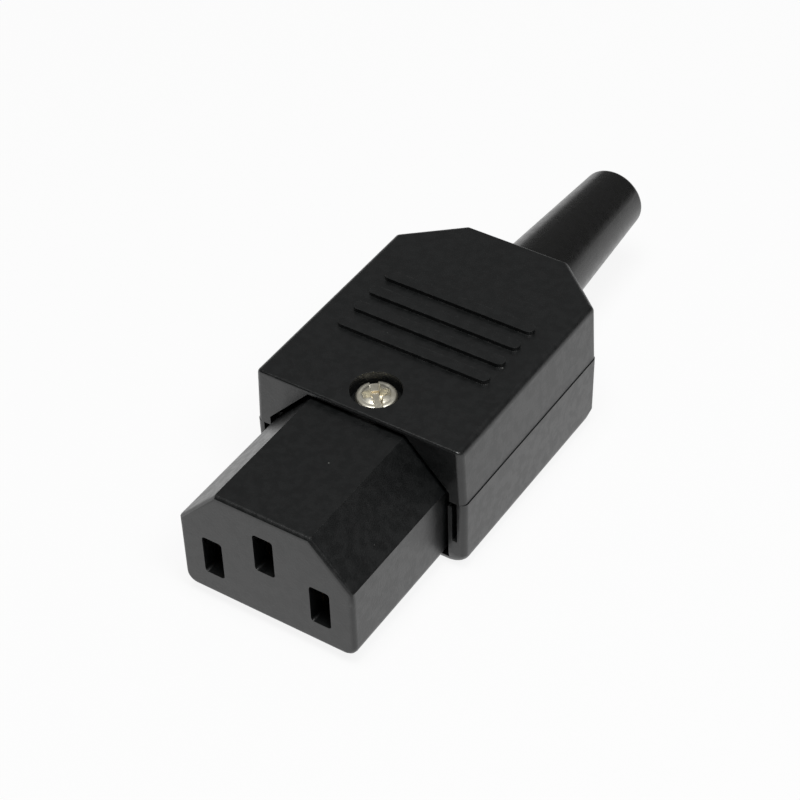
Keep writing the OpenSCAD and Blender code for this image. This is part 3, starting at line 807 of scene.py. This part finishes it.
@dataclass
class TurnedScrew:
    """A machine screw with a turned head, a driver recess and a cut thread."""

    node: str
    head_height: float
    shank_diameter: float
    pitch: float
    drive: Drive
    turn: float = 0.0
    slot_width: float = 0.95 * MM
    slot_depth: float = 0.8 * MM
    cross_length: float = 3.5 * MM
    cross_width: float = 1.1 * MM
    cross_depth: float = 1.15 * MM
    edge: float = 0.3 * MM
    crown: float = 0.12 * MM
    groove: float = 0.0
    # A slot's upward floor keeps the plating, outside the painted shade.
    bright_floor: bool = False
    steps: int = 48

    def build(self, plating: Material, recess: Material,
              slot: str) -> Object:
        """Builds the screw in its node's place.

        Args:
            plating: Finish of the head and shank.
            recess: Darker finish that paints shade on the walls of the driver recess.
            slot: Not used.

        Returns:
            The screw.
        """
        low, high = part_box(self.node)
        radius, length = (high.x - low.x) / 2, high.z - low.z
        screw = self._head(radius, length)
        self._paint_recess_shade(screw, radius, length)
        self._join_thread(screw, length)
        return fit_fastener(screw, self.node, [plating, recess])

    def _head(self, radius: float, length: float) -> Object:
        """Turns the head and cuts its recess.

        Args:
            radius: Radius of the head.
            length: Length of the whole screw, whose tip is at height 0.

        Returns:
            The head.
        """
        base = length - self.head_height
        arc = [(radius - self.edge + self.edge * math.sin(a), length - self.crown - self.edge
                + self.edge * math.cos(a))
               for a in (math.radians(15 * i) for i in range(6, -1, -1))]
        flat = radius - self.edge
        crown = [(flat * f, length - self.crown * f ** 2 - self.groove * deep)
                 for f, deep in DOME_RINGS]
        rim = [(radius - RIM_CHAMFER, base), (radius, base + RIM_CHAMFER)]
        head = object_from(f"{self.node}_detail", turned(
            [(self.shank_diameter / 2 * NECK_SHARE, base), *rim, *arc, *crown,
             (CENTRE_RADIUS, length)], self.steps))
        carve(head, self._recess_tools(radius, length))
        bevel_sharp(head, HEAD_EDGE, HEAD_ANGLE)
        return head

    def _recess_tools(self, radius: float, length: float) -> list[Object]:
        """Makes the solids that cut the driver recess.

        Args:
            radius: Radius of the head.
            length: Height of the head's top.

        Returns:
            The cutting solids.
        """
        above = length + TOOL_RISE
        tools = []
        if self.drive is Drive.SLOT_AND_CROSS:
            tools.append(tapered_bar(3 * radius, self.slot_width * SLOT_TAPER, 3 * radius,
                                     self.slot_width, above, length - self.slot_depth, self.turn))
        for quarter in (0.0, 90.0):
            tools.append(tapered_bar(self.cross_length, self.cross_width,
                                     self.cross_length * CROSS_FOOT_LENGTH,
                                     self.cross_width * CROSS_FOOT_WIDTH,
                                     above, length - self.cross_depth, self.turn + quarter))
        return [object_from(f"{self.node}_tool", tool) for tool in tools]

    def _paint_recess_shade(self, screw: Object, radius: float, length: float) -> None:
        """Paints shade on the recess walls with the second, darker finish; a slot's upward floor
        stays bright.

        Args:
            screw: The head.
            radius: Radius of the head.
            length: Height of the head's top.
        """
        turn = math.radians(self.turn)
        under_head = length - self.head_height + RECESS_FOOT
        for face in screw.data.polygons:
            centre = face.center
            inside = math.hypot(centre.x, centre.y) < radius * RECESS_REACH
            below = under_head < centre.z < length - self.crown - RECESS_TOP
            aside = abs(centre.y * math.cos(turn) - centre.x * math.sin(turn))
            floor = self.bright_floor and aside < self.slot_width / 2 and face.normal.z > 0.7
            # Recess faces take the darker finish: painted shade.
            face.material_index = int(inside and below and not floor)

    def _join_thread(self, screw: Object, length: float) -> None:
        """Adds the threaded shank below the head.

        Args:
            screw: The head, which takes in the shank.
            length: Length of the whole screw.
        """
        outer = self.shank_diameter / 2
        depth = min(THREAD_DEPTH * self.pitch, outer * THREAD_LIMIT)
        top = length - self.head_height + SHANK_OVERLAP
        rows = max(THREAD_ROWS, int(top / self.pitch * THREAD_ROWS))
        mesh = bmesh.new()
        mesh.from_mesh(screw.data)
        rings = []
        for row in range(rows + 1):
            z = top * row / rows
            tip = min(1.0, z / (POINT_PITCHES * self.pitch))
            run_out = min(1.0, max(0.0, (top - RUN_OUT - z) / self.pitch))
            ring = []
            for i in range(THREAD_STEPS):
                phase = (z / self.pitch - i / THREAD_STEPS) % 1.0
                flank = abs(phase * 2 - 1)
                cut = depth * min(1.0, flank * THREAD_FLANK) * run_out
                r = (outer - cut) * (POINT_SHARE + (1 - POINT_SHARE) * tip)
                angle = 2 * math.pi * i / THREAD_STEPS
                ring.append(mesh.verts.new((r * math.cos(angle), r * math.sin(angle), z)))
            rings.append(ring)
        start = len(mesh.faces)
        close_rings(mesh, rings)
        mesh.faces.ensure_lookup_table()
        bmesh.ops.recalc_face_normals(mesh, faces=mesh.faces[start:])
        mesh.to_mesh(screw.data)
        mesh.free()


# Cutting solids of a nut: points round them, slope of the corner cone and overlap.
CONE_STEPS, BORE_STEPS = 48, 40
CONE_SLOPE = 1.7
CUT_MARGIN = 0.01 * MM
NUT_EDGE = 0.04 * MM
NUT_ANGLE = 35.0


@dataclass
class TurnedNut:
    """A nut with chamfered corners and a countersunk bore."""

    node: str
    sides: int
    bore: float
    chamfer: float = 0.3 * MM
    sink: float = 0.18 * MM
    turn: float = 0.0

    def build(self, finish: Material, slot: str) -> Object:
        """Builds the nut in its node's place.

        Args:
            finish: Its finish.
            slot: Not used.

        Returns:
            The nut.
        """
        low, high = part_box(self.node)
        height = high.z - low.z
        width = high.y - low.y
        corner = width / 2 / math.cos(math.pi / self.sides)
        disc = corner + CUT_MARGIN
        inner = disc - self.chamfer * CONE_SLOPE
        wide = self.bore + self.sink
        prism = turned([(corner, 0.0), (corner, height)], self.sides, self.turn)
        blank = object_from(f"{self.node}_detail", prism)
        cone = turned([(inner, 0), (disc, self.chamfer), (disc, height - self.chamfer),
                       (inner, height)], CONE_STEPS)
        carve(blank, [object_from("chamfer_tool", cone)], "INTERSECT")
        bore = turned([(wide, -CUT_MARGIN), (wide, 0), (self.bore, self.sink),
                       (self.bore, height - self.sink), (wide, height),
                       (wide, height + CUT_MARGIN)], BORE_STEPS)
        carve(blank, [object_from("bore_tool", bore)])
        bevel_sharp(blank, NUT_EDGE, NUT_ANGLE)
        return fit_fastener(blank, self.node, [finish])


# ---------------------------------------------------------------- sub-assemblies


@dataclass
class HousingShells:
    """Top and bottom shell of the housing."""

    nodes: tuple[str, ...] = ("top_shell", "bottom_shell")
    edge_radius: float = 0.13 * MM

    def build(self) -> list[Object]:
        """Dresses the shells, whose edges stay crisper along their seam.

        Returns:
            Their objects.
        """
        plastic = HOUSING_PLASTIC.build()
        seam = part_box("bottom_shell")[1].z
        softening = EdgeSoftening(self.edge_radius, 3, seam_height=seam, seam_share=0.3)
        return [dress(node, plastic, softening) for node in self.nodes]


@dataclass
class SocketInsert:
    """The bevelled nose in two halves, with its three folded contacts."""

    halves: tuple[str, ...] = ("socket_cover", "socket_base")
    contacts: tuple[str, ...] = ("line_contact", "neutral_contact", "earth_contact")
    edge_radius: float = 0.10 * MM
    sheet_radius: float = 0.06 * MM

    def build(self) -> list[Object]:
        """Dresses the insert and its contacts.

        Returns:
            Their objects.
        """
        plastic, brass = SOCKET_PLASTIC.build(), CONTACT_BRASS.build()
        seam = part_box("socket_base")[1].z
        softening = EdgeSoftening(self.edge_radius, 2, seam_height=seam, seam_share=0.35)
        folded = EdgeSoftening(self.sheet_radius, 2)
        return ([dress(node, plastic, softening) for node in self.halves]
                + [dress(node, brass, folded) for node in self.contacts])


@dataclass
class Terminals:
    """Screw terminals of the three contacts: screw, wire washer and square nut each."""

    poles: tuple[str, ...] = ("line", "neutral", "earth")
    head_height: float = 1.6 * MM
    shank: float = 2.5 * MM
    bore: float = 1.28 * MM

    def build(self, zinc: Material) -> list[Object]:
        """Builds screws and nuts and dresses the washers.

        Args:
            zinc: The zinc plate.

        Returns:
            The pieces.
        """
        made = []
        for i, pole in enumerate(self.poles):
            screw = TurnedScrew(f"{pole}_terminal_screw", self.head_height, self.shank, 0.45 * MM,
                                Drive.SLOT_AND_CROSS, turn=20.0 + 55.0 * i, cross_length=3.0 * MM)
            made.append(screw.build(zinc, zinc, "zinc_steel"))
            made.append(dress(f"{pole}_terminal_washer", zinc, EdgeSoftening(0.05 * MM, 2)))
            nut = TurnedNut(f"{pole}_terminal_nut", 4, self.bore, chamfer=0.2 * MM, turn=45.0)
            made.append(nut.build(zinc, "zinc_steel"))
        return made


@dataclass
class CordClamp:
    """Bar that holds the cord, with its two screws."""

    bar: str = "cord_clamp_bar"
    screws: tuple[str, ...] = ("cord_clamp_screw_left", "cord_clamp_screw_right")
    head_height: float = 1.7 * MM
    shank: float = 2.4 * MM

    def build(self, zinc: Material) -> list[Object]:
        """Dresses the bar and builds its screws.

        Args:
            zinc: The zinc plate.

        Returns:
            The pieces.
        """
        made = [dress(self.bar, CLAMP_PLASTIC.build(), EdgeSoftening(0.15 * MM, 3))]
        for i, node in enumerate(self.screws):
            screw = TurnedScrew(node, self.head_height, self.shank, 0.9 * MM, Drive.CROSS,
                                turn=15.0 + 40.0 * i, cross_length=2.8 * MM)
            made.append(screw.build(zinc, zinc, "zinc_steel"))
        return made


@dataclass
class StrainRelief:
    """Tapered rubber sleeve at the cord entry."""

    node: str = "strain_relief_sleeve"
    edge_radius: float = 0.2 * MM

    def build(self) -> list[Object]:
        """Dresses the sleeve.

        Returns:
            Its object.
        """
        softening = EdgeSoftening(self.edge_radius, 3, min_angle=25.0)
        return [dress(self.node, SLEEVE_RUBBER.build(), softening)]


@dataclass
class CoverFastening:
    """The screw that closes the two shells, and its nut."""

    head_height: float = 1.6 * MM
    shank: float = 2.5 * MM
    turn: float = -49.0

    def build(self, zinc: Material) -> list[Object]:
        """Builds the screw and the nut.

        Args:
            zinc: The zinc plate, for the nut.

        Returns:
            The pieces.
        """
        screw = TurnedScrew("cover_screw", self.head_height, self.shank, 0.45 * MM,
                            Drive.SLOT_AND_CROSS, turn=self.turn, slot_width=1.0 * MM,
                            cross_length=3.8 * MM, cross_width=1.35 * MM, cross_depth=1.0 * MM,
                            crown=0.32 * MM, groove=0.09 * MM, bright_floor=True, steps=72)
        nut = TurnedNut("cover_nut", 6, 1.28 * MM)
        return [screw.build(SCREW_PLATING.build(), SCREW_RECESS_SHADE.build(), "plated_screw"),
                nut.build(zinc, "zinc_steel")]


# ---------------------------------------------------------------- studio


def bearing(azimuth: float, elevation: float) -> Vector:
    """Gives the direction of a bearing.

    Args:
        azimuth: Turn from -Y towards +X, in degrees.
        elevation: Rise above the floor, in degrees.

    Returns:
        The direction, of length 1.
    """
    turn, rise = math.radians(azimuth), math.radians(elevation)
    return Vector((math.sin(turn) * math.cos(rise), -math.cos(turn) * math.cos(rise),
                   math.sin(rise)))


@dataclass(frozen=True)
class SoftLamp:
    """A round soft lamp that faces the connector."""

    name: str
    azimuth: float
    elevation: float
    distance: float
    size: float
    level: float

    def build(self, aim: Vector) -> Object:
        """Makes the lamp.

        Args:
            aim: The point that it faces.

        Returns:
            The lamp.
        """
        away = bearing(self.azimuth, self.elevation)
        light = bpy.data.lights.new(self.name, "AREA")
        light.shape = "DISK"
        light.size = self.size
        light.energy = self.level * math.pi ** 2 * self.distance ** 2
        lamp = bpy.data.objects.new(self.name, light)
        lamp.location = aim + away * self.distance
        lamp.rotation_mode = "QUATERNION"
        lamp.rotation_quaternion = away.to_track_quat("Z", "Y")
        bpy.context.scene.collection.objects.link(lamp)
        return lamp


@dataclass(frozen=True)
class StudioFloor:
    """A wide pale floor that shows white and keeps a soft shadow."""

    radius: float = 4.0
    drop: float = 0.02 * MM
    colour: tuple[float, float, float] = (0.9, 0.9, 0.9)
    glow_share: float = 0.88

    def build(self) -> Object:
        """Makes the floor.

        Returns:
            The floor.
        """
        mesh = bmesh.new()
        bmesh.ops.create_circle(mesh, cap_ends=True, radius=self.radius, segments=96)
        floor = object_from("studio_floor", mesh)
        floor.location.z = -self.drop
        floor.data.materials.append(self._material())
        floor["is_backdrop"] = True
        return floor

    def _material(self) -> Material:
        """Builds the floor's material, which is clear from below.

        Returns:
            The material.
        """
        material = bpy.data.materials.new("studio_floor")
        material.use_nodes = True
        desk = NodeDesk(material.node_tree)
        desk.tree.nodes.remove(desk.tree.nodes["Principled BSDF"])
        path = desk.add("ShaderNodeLightPath")
        seen = desk.sum("ADD", path.outputs["Is Camera Ray"], path.outputs["Is Glossy Ray"])
        seen = desk.sum("ADD", seen, path.outputs["Is Transmission Ray"], clamp=True)
        matt = desk.add("ShaderNodeBsdfDiffuse", {"Color": opaque(self.colour)})
        glow = desk.add("ShaderNodeEmission", {"Color": (1, 1, 1, 1), "Strength": 1.0})
        front = desk.add("ShaderNodeMixShader", {0: desk.sum("MULTIPLY", seen, self.glow_share),
                                                 1: matt.outputs[0], 2: glow.outputs[0]})
        clear = desk.add("ShaderNodeBsdfTransparent")
        side = desk.add("ShaderNodeNewGeometry")
        both = desk.add("ShaderNodeMixShader", {0: side.outputs["Backfacing"],
                                                1: front.outputs[0], 2: clear.outputs[0]})
        desk.link(both.outputs[0], desk.tree.nodes["Material Output"].inputs[0])
        return material


@dataclass(frozen=True)
class StudioSky:
    """The room round the floor: white at and below the horizon, dim above, darkest in front."""

    low_level: float = 0.95
    lit_level: float = 0.16
    dark_level: float = 0.02
    fade_from: float = 0.0
    fade_to: float = 0.15
    lit_side: tuple[float, float, float] = (-0.563, 0.826, 0.0)
    lit_from: float = -0.25
    lit_to: float = 0.65

    def build(self) -> bpy.types.World:
        """Makes the world.

        Returns:
            The world.
        """
        world = bpy.data.worlds.new("studio_sky")
        world.use_nodes = True
        desk = NodeDesk(world.node_tree)
        way = desk.add("ShaderNodeTexCoord").outputs["Generated"]
        height = desk.add("ShaderNodeSeparateXYZ", {0: way}).outputs[2]
        toward = desk.add("ShaderNodeVectorMath", {0: way, 1: self.lit_side},
                          operation="DOT_PRODUCT").outputs["Value"]
        room = desk.ramp(toward, self.lit_from, self.lit_to, self.dark_level, self.lit_level)
        low = desk.ramp(height, self.fade_from, self.fade_to, 1.0, 0.0)
        above = desk.sum("MULTIPLY", room, desk.sum("SUBTRACT", 1.0, low))
        level = desk.sum("ADD", above, desk.sum("MULTIPLY", low, self.low_level))
        ground = world.node_tree.nodes["Background"]
        desk.link(level, ground.inputs["Strength"])
        ground.inputs["Color"].default_value = (1, 1, 1, 1)
        bpy.context.scene.world = world
        return world


@dataclass(frozen=True)
class Viewpoint:
    """The camera, set by where it looks and from which side."""

    target: tuple[float, float, float]
    azimuth: float
    elevation: float
    roll: float
    distance: float
    lens: float

    def build(self) -> Object:
        """Makes the scene's camera.

        Returns:
            The camera.
        """
        turn, roll = math.radians(self.azimuth), math.radians(self.roll)
        back = bearing(self.azimuth, self.elevation)
        right = Vector((math.cos(turn), math.sin(turn), 0.0))
        up = back.cross(right)
        tilted_right = math.cos(roll) * right + math.sin(roll) * up
        tilted_up = math.cos(roll) * up - math.sin(roll) * right
        lens = bpy.data.cameras.new("camera")
        lens.lens = self.lens
        lens.sensor_width = 36.0
        lens.clip_start = 0.01
        camera = bpy.data.objects.new("camera", lens)
        bpy.context.scene.collection.objects.link(camera)
        placed = Matrix((tilted_right, tilted_up, back)).transposed().to_4x4()
        placed.translation = Vector(self.target) + back * self.distance
        camera.matrix_world = placed
        bpy.context.scene.camera = camera
        return camera


@dataclass
class Studio:
    """Camera, lamps, floor and sky."""

    viewpoint: Viewpoint = Viewpoint(
        target=(-2.269 * MM, -8.45 * MM, 9.03 * MM), azimuth=34.272, elevation=41.926,
        roll=-2.053, distance=253.122 * MM, lens=98.98)
    lamps: tuple[SoftLamp, ...] = (
        SoftLamp("overhead_lamp", azimuth=20.0, elevation=80.0, distance=0.8, size=0.4,
                 level=0.60),
        SoftLamp("side_lamp", azimuth=75.0, elevation=58.0, distance=0.9, size=0.4, level=0.35),
    )

    def build(self) -> None:
        """Sets the scene's camera, lamps, floor, sky and view."""
        self.viewpoint.build()
        StudioFloor().build()
        StudioSky().build()
        low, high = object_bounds()
        for lamp in self.lamps:
            lamp.build((low + high) / 2)
        bpy.context.scene.view_settings.view_transform = "Standard"


# ---------------------------------------------------------------- main


def report(part: str, pieces: list[Object]) -> None:
    """Logs the pieces of one sub-assembly.

    Args:
        part: The sub-assembly's name.
        pieces: Its pieces.
    """
    for piece in pieces:
        LOG.info("%s: %s, %d faces", part, piece.name, len(piece.data.polygons))


def main() -> None:
    """Builds the studio and every sub-assembly in order."""
    logging.basicConfig(level=logging.INFO, format="%(message)s")
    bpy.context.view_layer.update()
    Studio().build()
    zinc = ZINC_STEEL.build()
    report("housing", HousingShells().build())
    report("socket insert", SocketInsert().build())
    report("terminals", Terminals().build(zinc))
    report("cord clamp", CordClamp().build(zinc))
    report("strain relief", StrainRelief().build())
    report("cover fastening", CoverFastening().build(zinc))


if __name__ == "__main__":
    main()
